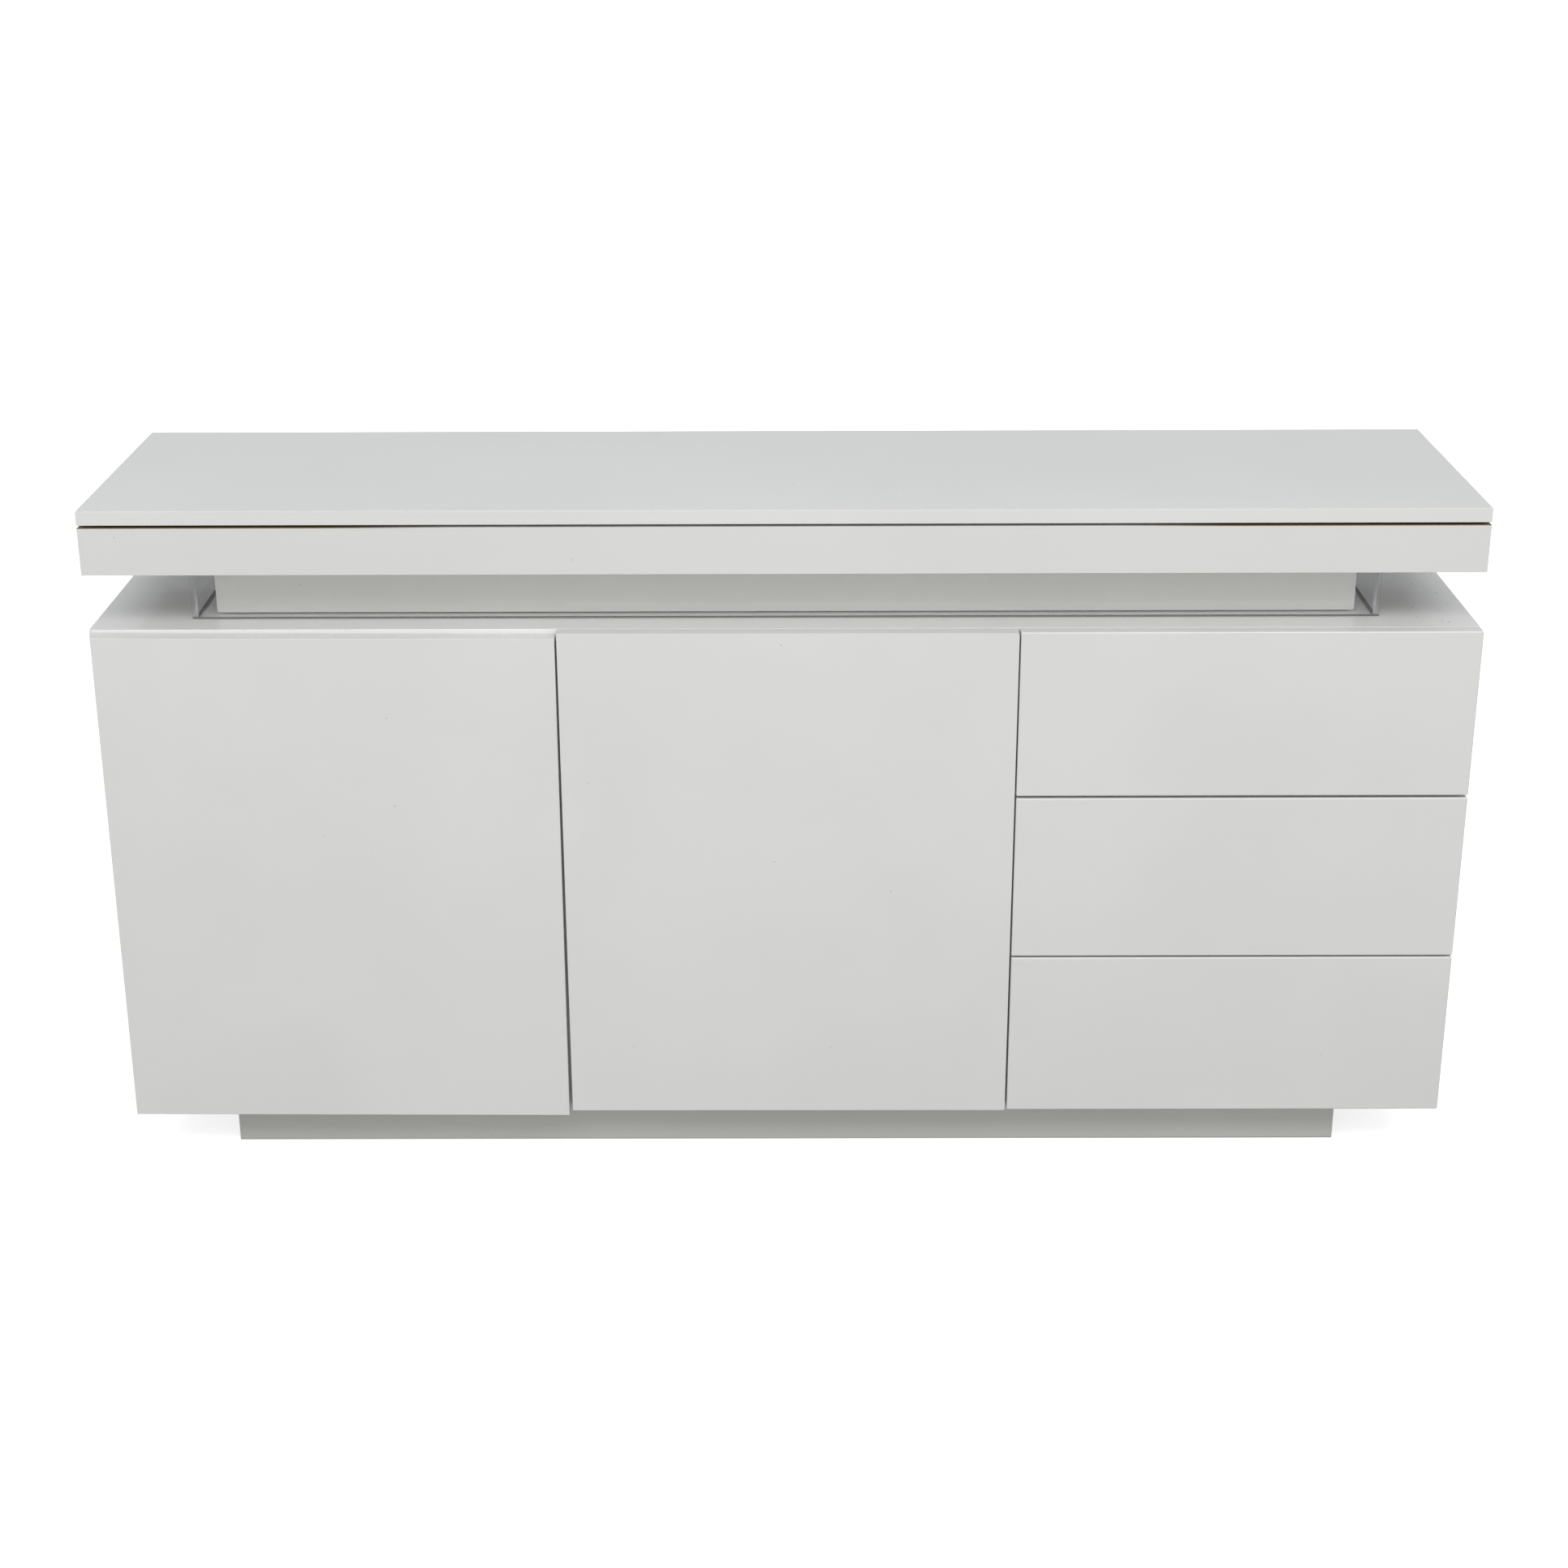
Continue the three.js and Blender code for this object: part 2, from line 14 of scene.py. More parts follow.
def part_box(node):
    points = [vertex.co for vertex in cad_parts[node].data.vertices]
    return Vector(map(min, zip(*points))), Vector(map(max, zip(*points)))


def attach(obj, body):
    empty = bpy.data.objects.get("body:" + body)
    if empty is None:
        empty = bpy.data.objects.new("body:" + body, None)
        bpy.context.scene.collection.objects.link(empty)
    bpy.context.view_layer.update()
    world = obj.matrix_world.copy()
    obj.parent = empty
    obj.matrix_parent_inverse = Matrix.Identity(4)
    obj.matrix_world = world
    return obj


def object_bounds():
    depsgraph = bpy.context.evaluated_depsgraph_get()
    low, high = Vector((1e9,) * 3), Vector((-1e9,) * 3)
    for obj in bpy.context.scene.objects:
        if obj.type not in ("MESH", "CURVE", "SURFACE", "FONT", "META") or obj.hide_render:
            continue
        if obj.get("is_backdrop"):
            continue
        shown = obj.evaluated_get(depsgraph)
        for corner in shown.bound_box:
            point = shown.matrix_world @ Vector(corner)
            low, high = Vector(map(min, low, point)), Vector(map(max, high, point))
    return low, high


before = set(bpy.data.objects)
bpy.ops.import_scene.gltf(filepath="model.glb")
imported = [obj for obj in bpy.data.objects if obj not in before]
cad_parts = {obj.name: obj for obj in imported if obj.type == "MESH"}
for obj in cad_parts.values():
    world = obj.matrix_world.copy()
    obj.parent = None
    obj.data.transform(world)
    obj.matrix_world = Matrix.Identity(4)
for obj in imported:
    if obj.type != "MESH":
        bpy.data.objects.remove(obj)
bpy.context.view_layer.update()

MM = 0.001
UP, DOWN = Vector((0, 0, 1)), Vector((0, 0, -1))
TO_FRONT, TO_BACK = Vector((0, -1, 0)), Vector((0, 1, 0))
TO_LEFT, TO_RIGHT = Vector((-1, 0, 0)), Vector((1, 0, 0))
DOORS = ("left", "middle")
DRAWERS = ("lower", "middle", "upper")

# ---- colours, linear ----
WHITE_LACQUER = (0.730, 0.732, 0.714, 1)
# lighter and warmer than the white lacquer: painted light on the spacer boards in the recess
RECESS_LACQUER_PAINTED_LIGHT = (0.768, 0.760, 0.726, 1)
# lighter than the white lacquer: painted light on the ledge
LEDGE_LACQUER_PAINTED_LIGHT = (0.785, 0.783, 0.772, 1)
# darker than the white lacquer: painted shade on the fascia
FASCIA_LACQUER_PAINTED_SHADE = (0.700, 0.702, 0.686, 1)
# darker than the white lacquer: painted shade on the plinth under the overhang
PLINTH_LACQUER_PAINTED_SHADE = (0.620, 0.622, 0.592, 1)
PRIMER = (0.52, 0.51, 0.47, 1)
# dark grey-brown for dust, flaws and seams, and for the painted contact shadow at a plinth's foot
GRIME_AND_CONTACT_SHADE = (0.33, 0.31, 0.27, 1)
MDF = (0.30, 0.19, 0.085, 1)
MDF_DARK = (0.12, 0.07, 0.03, 1)
MELAMINE = (0.69, 0.70, 0.66, 1)
MELAMINE_GRAIN = (0.66, 0.67, 0.63, 1)
EDGE_BAND = (0.66, 0.67, 0.65, 1)
CHIPBOARD = (0.47, 0.36, 0.23, 1)
CHIPBOARD_DARK = (0.27, 0.19, 0.11, 1)
HARDBOARD = (0.57, 0.56, 0.51, 1)
HARDBOARD_FIBRE = (0.50, 0.48, 0.43, 1)
STEEL = (0.60, 0.61, 0.62, 1)
STEEL_DULL = (0.47, 0.48, 0.49, 1)
NYLON = (0.58, 0.59, 0.57, 1)
NYLON_DULL = (0.52, 0.53, 0.51, 1)
PANE = (0.985, 0.987, 0.99, 1)
PANE_EDGE = (0.42, 0.41, 0.46, 1)
PANE_FOOT = (0.20, 0.20, 0.19, 1)
END_PANE_FOOT = (0.05, 0.05, 0.045, 1)

# ---- flaws strewn over the lacquer ----
FLAW_SPACING, FLAW_RADIUS = 60 * MM, 1.6 * MM
CRUMB_SPACING, CRUMB_RADIUS = 14 * MM, 1.5 * MM


# ---- materials: a tree of nodes built by short calls ----
class Tree:
    """A material in the making. Every method that makes a node returns its output socket."""

    def __init__(self, name):
        self.material = bpy.data.materials.new(name)
        self.material.use_nodes = True
        self.nodes = self.material.node_tree.nodes
        self.links = self.material.node_tree.links
        self.nodes.clear()
        self.shader = self.nodes.new("ShaderNodeBsdfPrincipled")
        self.output = self.nodes.new("ShaderNodeOutputMaterial")
        self.links.new(self.shader.outputs[0], self.output.inputs["Surface"])
        self.place = self.nodes.new("ShaderNodeTexCoord").outputs["Object"]

    def put(self, socket, value):
        """Gives a socket a value, or links it to the socket that makes one."""
        if isinstance(value, bpy.types.NodeSocket):
            self.links.new(value, socket)
        else:
            socket.default_value = value

    def make(self, kind, output=0, **inputs):
        node = self.nodes.new("ShaderNode" + kind)
        for key, value in inputs.items():
            self.put(node.inputs[key.replace("_", " ")], value)
        return node.outputs[output]

    def math(self, operation, *values):
        node = self.nodes.new("ShaderNodeMath")
        node.operation = operation
        for socket, value in zip(node.inputs, values):
            self.put(socket, value)
        return node.outputs[0]

    def vector(self, operation, *values):
        node = self.nodes.new("ShaderNodeVectorMath")
        node.operation = operation
        for socket, value in zip(node.inputs, values):
            self.put(socket, value)
        return node.outputs[0]

    def split(self, vector):
        node = self.nodes.new("ShaderNodeSeparateXYZ")
        self.links.new(vector, node.inputs[0])
        return node.outputs

    def stretched(self, factors):
        return self.vector("MULTIPLY", self.place, factors)

    def noise(self, scale, detail=2.0, roughness=0.5, place=None):
        return self.make(
            "TexNoise", Vector=place or self.place, Scale=scale, Detail=detail, Roughness=roughness
        )

    def cells(self, scale, output="Distance"):
        node = self.nodes.new("ShaderNodeTexVoronoi")
        self.put(node.inputs["Vector"], self.place)
        self.put(node.inputs["Scale"], scale)
        return node.outputs[output]

    def ramp(self, value, start, end, low=0.0, high=1.0):
        """low up to start, high from end on, and smooth in between."""
        node = self.nodes.new("ShaderNodeMapRange")
        node.interpolation_type = "SMOOTHSTEP"
        for key, v in (
            ("Value", value),
            ("From Min", start),
            ("From Max", end),
            ("To Min", low),
            ("To Max", high),
        ):
            self.put(node.inputs[key], v)
        return node.outputs[0]

    def blend(self, share, first, second):
        node = self.nodes.new("ShaderNodeMix")
        node.data_type = "RGBA"
        self.put(node.inputs["Factor"], share)
        self.put(node.inputs[6], first)
        self.put(node.inputs[7], second)
        return node.outputs[2]

    def mixed(self, share, first, second):
        """Two shaders mixed."""
        node = self.nodes.new("ShaderNodeMixShader")
        for socket, value in zip(node.inputs, (share, first, second)):
            self.put(socket, value)
        return node.outputs[0]

    def bump(self, height, distance, normal=None):
        node = self.nodes.new("ShaderNodeBump")
        self.put(node.inputs["Height"], height)
        node.inputs["Distance"].default_value = distance
        node.inputs["Strength"].default_value = 1.0
        if normal:
            self.links.new(normal, node.inputs["Normal"])
        return node.outputs[0]

    def finish(self, colour, roughness, normal=None, **values):
        self.put(self.shader.inputs["Base Color"], colour)
        self.put(self.shader.inputs["Roughness"], roughness)
        if normal:
            self.links.new(normal, self.shader.inputs["Normal"])
        for key, value in values.items():
            self.shader.inputs[key.replace("_", " ")].default_value = value
        return self.material

    def edge_distance(self, low, high):
        """How far a point of the board's surface is from the nearest arris."""
        to_low = self.vector("ABSOLUTE", self.vector("SUBTRACT", self.place, low))
        to_high = self.vector("ABSOLUTE", self.vector("SUBTRACT", self.place, high))
        x, y, z = self.split(self.vector("MINIMUM", to_low, to_high))
        least = self.math("MINIMUM", x, self.math("MINIMUM", y, z))
        most = self.math("MAXIMUM", x, self.math("MAXIMUM", y, z))
        total = self.math("ADD", x, self.math("ADD", y, z))
        return self.math("SUBTRACT", self.math("SUBTRACT", total, least), most)

    def flecks(self, spacing, radius):
        """1 inside small round flaws strewn over the surface, in cells of about this spacing, 0 outside."""
        share = radius / spacing
        return self.ramp(self.cells(1 / spacing), share, 0.6 * share)


def lacquer(
    node, tint=WHITE_LACQUER, raw_above=None, smudge=0.0, contact_shade_height=0.0, gloss=0.35, dirt_from=None
):
    """Satin white lacquer on a board: clouds, orange peel, dust, rubbed arrises, a few flaws.

    raw_above leaves the board bare from that level at its ends, contact_shade_height is the height of the
    painted contact shadow where a board meets the floor, and dirt_from is the x beyond which crumbs of dirt
    lie on it.
    """
    tree = Tree(node + "_lacquer")
    low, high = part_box(node)
    clouds = tree.noise(3.1, 3.0)
    colour = tree.blend(tree.ramp(clouds, 0.35, 0.65), tint, [0.972 * c for c in tint[:3]] + [1])
    dust = tree.math(
        "MULTIPLY",
        tree.ramp(tree.cells(150.0), 0.10, 0.05),
        tree.ramp(tree.noise(37.0), 0.60, 0.66),
    )
    colour = tree.blend(tree.math("MULTIPLY", dust, 0.22), colour, GRIME_AND_CONTACT_SHADE)
    edge = tree.edge_distance(low, high)
    worn = tree.math(
        "MULTIPLY",
        tree.ramp(edge, 1.1 * MM, 0.2 * MM),
        tree.ramp(tree.noise(60.0, 4.0, 0.6), 0.60, 0.68),
    )
    colour = tree.blend(tree.math("MULTIPLY", worn, 0.55), colour, PRIMER)
    flaws = tree.flecks(FLAW_SPACING, FLAW_RADIUS)
    colour = tree.blend(tree.math("MULTIPLY", flaws, 0.45), colour, GRIME_AND_CONTACT_SHADE)
    dent = tree.math("MAXIMUM", worn, flaws)
    if dirt_from is not None:
        beyond = tree.ramp(tree.split(tree.place)[0], dirt_from, dirt_from + 2 * MM)
        crumbs = tree.math("MULTIPLY", tree.flecks(CRUMB_SPACING, CRUMB_RADIUS), beyond)
        colour = tree.blend(tree.math("MULTIPLY", crumbs, 0.85), colour, MDF_DARK)
    if contact_shade_height:
        # painted contact shadow: the board darkens towards the floor it stands on
        height = tree.split(tree.place)[2]
        foot = tree.ramp(height, low[2] + contact_shade_height, low[2] + 0.5 * contact_shade_height, 0.0, 0.75)
        colour = tree.blend(foot, colour, GRIME_AND_CONTACT_SHADE)
        brushed = tree.noise(1.0, 3.0, 0.6, tree.stretched((30.0, 30.0, 700.0)))
        colour = tree.blend(tree.ramp(brushed, 0.4, 0.7, 0.0, 0.12), colour, PRIMER)
    roughness = tree.ramp(tree.noise(9.0, 4.0, 0.6), 0.3, 0.7, 0.30, 0.38)
    roughness = tree.math("ADD", roughness, tree.math("MULTIPLY", dent, 0.3))
    if smudge:
        touched = tree.math(
            "MULTIPLY", tree.ramp(tree.noise(26.0, 3.0), 0.52, 0.62), tree.ramp(edge, 60 * MM, 20 * MM)
        )
        roughness = tree.math("ADD", roughness, tree.math("MULTIPLY", touched, smudge))
    if raw_above is not None:
        fibres = tree.blend(tree.ramp(tree.noise(900.0, 3.0), 0.35, 0.7), MDF, MDF_DARK)
        x, _, z = tree.split(tree.place)
        ends = tree.ramp(tree.math("ABSOLUTE", x), 0.45 * high[0], 0.65 * high[0])
        bare = tree.math("MULTIPLY", ends, tree.ramp(z, raw_above - 0.4 * MM, raw_above))
        colour = tree.blend(bare, colour, fibres)
        roughness = tree.math("MAXIMUM", roughness, tree.math("MULTIPLY", bare, 0.9))
    peel = tree.bump(tree.noise(260.0, 2.0), 0.012 * MM)
    waves = tree.bump(tree.noise(22.0, 1.0), 0.05 * MM, peel)
    normal = tree.bump(dent, -0.12 * MM, waves)
    return tree.finish(
        colour,
        roughness,
        normal,
        IOR=1.5,
        Coat_Weight=gloss,
        Coat_Roughness=0.12,
        Coat_IOR=1.45,
    )


def melamine(node, bare_back=True):
    """Off-white melamine paper with a fine pebble, banded front edge and raw chipboard at the back edge."""
    tree = Tree(node + "_melamine")
    low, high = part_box(node)
    grain = tree.ramp(tree.noise(420.0, 3.0, 0.7), 0.4, 0.6)
    colour = tree.blend(tree.math("MULTIPLY", grain, 0.6), MELAMINE, MELAMINE_GRAIN)
    colour = tree.blend(tree.ramp(tree.noise(4.0, 4.0), 0.45, 0.7, 0.0, 0.5), colour, EDGE_BAND)
    edge = tree.edge_distance(low, high)
    seam = tree.math("SUBTRACT", tree.ramp(edge, 1.1 * MM, 0.9 * MM), tree.ramp(edge, 0.8 * MM, 0.6 * MM))
    colour = tree.blend(tree.math("MULTIPLY", seam, 0.35), colour, GRIME_AND_CONTACT_SHADE)
    roughness = tree.ramp(tree.noise(14.0, 4.0), 0.3, 0.7, 0.42, 0.55)
    if bare_back:
        y = tree.split(tree.place)[1]
        bare = tree.ramp(y, high[1] - 0.35 * MM, high[1] - 0.1 * MM)
        chips = tree.blend(tree.cells(330.0, "Color"), CHIPBOARD, CHIPBOARD_DARK)
        colour = tree.blend(bare, colour, chips)
        roughness = tree.math("MAXIMUM", roughness, tree.math("MULTIPLY", bare, 0.9))
    normal = tree.bump(tree.noise(700.0, 3.0, 0.7), 0.02 * MM)
    return tree.finish(colour, roughness, normal, IOR=1.48)


def hardboard(node):
    """Thin fibreboard with a pale printed face: fine crossing fibres and faint press marks."""
    tree = Tree(node + "_hardboard")
    fibres = tree.noise(1.0, 4.0, 0.7, tree.stretched((900.0, 500.0, 240.0)))
    fibre_share = tree.ramp(fibres, 0.42, 0.62)
    colour = tree.blend(tree.math("MULTIPLY", fibre_share, 0.8), HARDBOARD, HARDBOARD_FIBRE)
    specks = tree.ramp(tree.cells(240.0), 0.16, 0.08)
    colour = tree.blend(tree.math("MULTIPLY", specks, 0.3), colour, MDF)
    stains = tree.ramp(tree.noise(3.0, 5.0, 0.6), 0.5, 0.75, 0.0, 0.35)
    colour = tree.blend(stains, colour, HARDBOARD_FIBRE)
    normal = tree.bump(fibres, 0.05 * MM)
    roughness = tree.ramp(tree.noise(8.0, 3.0), 0.3, 0.7, 0.62, 0.76)
    return tree.finish(colour, roughness, normal, IOR=1.45)


def plated_steel():
    """Zinc-plated steel: fine drawing lines, dull patches."""
    tree = Tree("plated_steel")
    lines = tree.noise(1.0, 3.0, 0.6, tree.stretched((60.0, 60.0, 2600.0)))
    dull = tree.ramp(tree.noise(70.0, 4.0, 0.6), 0.4, 0.7)
    colour = tree.blend(dull, STEEL, STEEL_DULL)
    roughness = tree.math("ADD", tree.ramp(lines, 0.3, 0.7, 0.24, 0.36), tree.math("MULTIPLY", dull, 0.1))
    normal = tree.bump(lines, 0.01 * MM)
    return tree.finish(colour, roughness, normal, Metallic=1.0)


def moulded_nylon():
    """Light grey moulded plastic with a fine spark-eroded grain."""
    tree = Tree("moulded_nylon")
    flow = tree.ramp(tree.noise(45.0, 3.0), 0.35, 0.7)
    colour = tree.blend(flow, NYLON, NYLON_DULL)
    grain = tree.noise(1800.0, 2.0)
    roughness = tree.ramp(grain, 0.3, 0.7, 0.42, 0.56)
    normal = tree.bump(grain, 0.012 * MM)
    return tree.finish(colour, roughness, normal, IOR=1.53)


def clear_pane(node, foot_line_colour, sawn_share):
    """A clear thin pane: faint gloss on its faces, lavender sawn edges, a dark line along its foot."""
    tree = Tree(node + "_clear")
    low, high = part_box(node)
    thin_axis = 0 if high[0] - low[0] < high[1] - low[1] else 1
    x, y, z = tree.split(tree.place)
    across = (x, y)[thin_axis]
    middle = 0.5 * (low[thin_axis] + high[thin_axis])
    half = 0.5 * (high[thin_axis] - low[thin_axis])
    depth = tree.math("ABSOLUTE", tree.math("SUBTRACT", across, middle))
    sawn = tree.ramp(depth, half - 0.02 * MM, half - 0.12 * MM)
    # a dark line along the pane's lowest millimetre
    foot = tree.ramp(z, low[2] + 1.0 * MM, low[2] + 0.7 * MM)
    dust = tree.math("MULTIPLY", tree.ramp(tree.cells(160.0), 0.09, 0.05), 0.06)
    solid = tree.math("MAXIMUM", tree.math("MAXIMUM", tree.math("MULTIPLY", sawn, sawn_share), foot), dust)
    colour = tree.blend(foot, PANE_EDGE, foot_line_colour)
    tree.finish(colour, tree.ramp(tree.noise(300.0), 0.3, 0.7, 0.25, 0.4), IOR=1.49)
    clear = tree.make("BsdfTransparent", Color=PANE)
    ripple = tree.bump(tree.noise(6.0), 0.05 * MM)
    gloss = tree.make("BsdfGlossy", Color=(1, 1, 1, 1), Roughness=0.03, Normal=ripple)
    grazing = tree.make("LayerWeight", output=1, Blend=0.5)
    share = tree.math("ADD", 0.03, tree.math("MULTIPLY", tree.math("POWER", grazing, 5.0), 0.3))
    face = tree.mixed(share, clear, gloss)
    tree.put(tree.output.inputs["Surface"], tree.mixed(solid, face, tree.shader.outputs[0]))
    return tree.material


# ---- CAD pieces: arrises and materials ----
def give(piece, material):
    piece.data.materials.clear()
    piece.data.materials.append(material)


def corner_of(piece, x_sign, z_sign):
    """The (x, z) place of a board's corner in the front view."""
    corner = max((v.co for v in piece.data.vertices), key=lambda p: x_sign * p.x + z_sign * p.z)
    return Vector((corner.x, corner.z))


def ease(piece, width, segments=3, flat=True, corners=(), corner_radius=0.0):
    """Rounds a piece's arrises, and in the front view its corners at these (x, z) places."""
    piece.data.polygons.foreach_set("use_smooth", [True] * len(piece.data.polygons))
    weld = piece.modifiers.new("weld", "WELD")
    weld.merge_threshold = 0.01 * MM
    if flat:
        plane = piece.modifiers.new("flat_faces", "DECIMATE")
        plane.decimate_type = "DISSOLVE"
        plane.angle_limit = math.radians(0.4)
    if corners:
        group = piece.vertex_groups.new(name="corners")
        near = [
            v.index
            for v in piece.data.vertices
            if any((Vector((v.co.x, v.co.z)) - c).length < 1 * MM for c in corners)
        ]
        group.add(near, 1.0, "REPLACE")
        turn = piece.modifiers.new("corners", "BEVEL")
        turn.limit_method = "VGROUP"
        turn.vertex_group = "corners"
        turn.width = corner_radius
        turn.segments = 5
    bevel = piece.modifiers.new("arrises", "BEVEL")
    bevel.limit_method = "ANGLE"
    bevel.angle_limit = math.radians(35)
    bevel.width = width
    bevel.segments = segments
    bevel.use_clamp_overlap = True
    level = piece.modifiers.new("level_normals", "WEIGHTED_NORMAL")
    level.mode = "FACE_AREA"
    level.weight = 100
    level.keep_sharp = False


BOARD_ARRIS, MELAMINE_ARRIS, HARDBOARD_ARRIS = 0.55 * MM, 0.4 * MM, 0.3 * MM
PANE_ARRIS, STEEL_ARRIS, NYLON_ARRIS = 0.25 * MM, 0.15 * MM, 0.25 * MM
DOOR_CORNER, DRAWER_CORNER = 3.2 * MM, 1.6 * MM
PANE_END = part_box("pane_front")[1].x
FRONT_NODES = ["left_door", "middle_door", *(d + "_drawer_front" for d in DRAWERS)]
ALL_CORNERS = [(x, z) for x in (-1, 1) for z in (-1, 1)]
FRONT_CORNERS = {d + "_drawer_front": ALL_CORNERS for d in DRAWERS}
FRONT_CORNERS["middle_door"] = [(1, 1)]

steel, nylon = plated_steel(), moulded_nylon()
for node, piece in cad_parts.items():
    low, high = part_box(node)
    slot = piece.data.materials[0].name.split(".")[0]
    if slot == "white_lacquer":
        if node in FRONT_NODES:
            give(piece, lacquer(node, smudge=0.12))
        elif node == "fascia_front":
            give(piece, lacquer(node, tint=FASCIA_LACQUER_PAINTED_SHADE, raw_above=high[2] - 1.9 * MM))
        elif node == "cabinet_top":
            give(piece, lacquer(node, tint=LEDGE_LACQUER_PAINTED_LIGHT, gloss=0.55, dirt_from=PANE_END))
        elif node.startswith("spacer"):
            give(piece, lacquer(node, tint=RECESS_LACQUER_PAINTED_LIGHT))
        elif node.startswith("plinth"):
            give(piece, lacquer(node, tint=PLINTH_LACQUER_PAINTED_SHADE, contact_shade_height=2.2 * MM))
        else:
            give(piece, lacquer(node))
        signs = FRONT_CORNERS.get(node, ())
        corners = [corner_of(piece, *sign) for sign in signs]
        radius = DOOR_CORNER if node == "middle_door" else DRAWER_CORNER
        ease(piece, BOARD_ARRIS, flat=not node.endswith("door"), corners=corners, corner_radius=radius)
    elif slot == "white_melamine":
        give(piece, melamine(node, bare_back=not node.endswith("wrap")))
        ease(piece, MELAMINE_ARRIS, 2)
    elif slot == "hardboard":
        give(piece, hardboard(node))
        ease(piece, HARDBOARD_ARRIS, 1)
    elif slot == "clear_pane":
        in_front = node == "pane_front"
        give(piece, clear_pane(node, PANE_FOOT if in_front else END_PANE_FOOT, 0.25 if in_front else 0.8))
        ease(piece, PANE_ARRIS, 2)
    elif slot == "steel":
        give(piece, steel)
        ease(piece, STEEL_ARRIS, 1, flat=False)
    else:
        give(piece, nylon)
        ease(piece, NYLON_ARRIS, 2, flat=False)


# ---- small fittings, built round the CAD pieces ----
SCREW_SEGMENTS = 20
RUNNER_WEB = 1.2 * MM
RUNNER_HALF_HEIGHT = 14 * MM
RUNNER_MEMBER_LENGTH = 345 * MM
CAM_INSET = 34 * MM
BUMPER_RADIUS, BUMPER_HEIGHT = 3.2 * MM, 1.7 * MM
NAIL_RADIUS, NAIL_HEIGHT = 2.7 * MM, 0.4 * MM
CAM_CAP_RADIUS, CAM_CAP_HEIGHT = 8.5 * MM, 1.1 * MM
DRAWER_CAP_RADIUS, DRAWER_CAP_HEIGHT = 6 * MM, 0.8 * MM
ADJUSTER_RADIUS, ADJUSTER_HEIGHT = 3.4 * MM, 1.2 * MM
RUNNER_SCREW, CUP_SCREW, ARM_SCREW, LATCH_SCREW = 3.4 * MM, 3.2 * MM, 3.6 * MM, 2.6 * MM


def towards(place, normal):
    """A frame at place whose +Z points along normal."""
    turn = Vector(normal).to_track_quat("Z", "Y").to_matrix().to_4x4()
    return Matrix.Translation(Vector(place)) @ turn


def ring(bm, where, radius, height, segments):
    turns = (2 * math.pi * i / segments for i in range(segments))
    points = [Vector((radius * math.cos(t), radius * math.sin(t), height)) for t in turns]
    return [bm.verts.new(where @ point) for point in points]


def join_rings(bm, first, second):
    for i in range(len(first)):
        j = (i + 1) % len(first)
        bm.faces.new((first[i], first[j], second[j], second[i]))


def lathe(bm, where, profile, segments=SCREW_SEGMENTS, open_end=False):
    """A turned solid: profile is (radius, height) from its foot to its end."""
    rings = [ring(bm, where, r, h, segments) for r, h in profile]
    for first, second in zip(rings, rings[1:]):
        join_rings(bm, first, second)
    bm.faces.new(list(reversed(rings[0])))
    if not open_end:
        bm.faces.new(rings[-1])
    return rings[-1]


def cross_outline(reach, half):
    quarter = [(reach, -half), (reach, half), (half, half)]
    turns = ((1, 0), (0, 1), (-1, 0), (0, -1))
    return [(x * c - y * s, x * s + y * c) for c, s in turns for x, y in quarter]


def screw(bm, place, normal, radius, height=None):
    """A pan head with a cross recess, seated on a face."""
    height = height or 0.5 * radius
    where = towards(place, normal)
    profile = [(0.94, 0.0), (1.0, 0.25), (0.97, 0.6), (0.84, 0.9), (0.68, 1.0)]
    rim = lathe(bm, where, [(r * radius, h * height) for r, h in profile], open_end=True)
    outline = cross_outline(0.46 * radius, 0.12 * radius)
    mouth = [bm.verts.new(where @ Vector((x, y, height))) for x, y in outline]
    floor = [bm.verts.new(where @ Vector((0.8 * x, 0.8 * y, 0.35 * height))) for x, y in outline]
    loops = []
    for loop in (rim, mouth):
        for i, vertex in enumerate(loop):
            following = loop[(i + 1) % len(loop)]
            loops.append(bm.edges.get((vertex, following)) or bm.edges.new((vertex, following)))
    bmesh.ops.triangle_fill(bm, use_beauty=True, edges=loops, normal=where.to_3x3() @ UP)
    join_rings(bm, mouth, floor)
    bm.faces.new(floor)


def dome(bm, place, normal, radius, height, segments=16):
    steps = [0.0, 0.3, 0.55, 0.8, 0.95]
    profile = [(radius * math.sqrt(1 - s * s * 0.98), height * s) for s in steps]
    lathe(bm, towards(place, normal), [(0.97 * radius, 0.0)] + profile[1:], segments)


def prism(bm, outline, start, end, place):
    """An outline extruded from start to end: place(u, v, t) gives a point of it."""
    ends = [[bm.verts.new(place(u, v, t)) for u, v in outline] for t in (start, end)]
    join_rings(bm, *ends)
    bm.faces.new(list(reversed(ends[0])))
    bm.faces.new(ends[1])


def add_piece(name, bm, body, material, arris=0.0):
    bmesh.ops.recalc_face_normals(bm, faces=bm.faces)
    mesh = bpy.data.meshes.new(name)
    bm.to_mesh(mesh)
    bm.free()
    piece = bpy.data.objects.new(name, mesh)
    bpy.context.scene.collection.objects.link(piece)
    give(piece, material)
    if arris:
        ease(piece, arris, 2, flat=False)
    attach(piece, body)


def middle(node):
    low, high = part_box(node)
    return (low + high) / 2


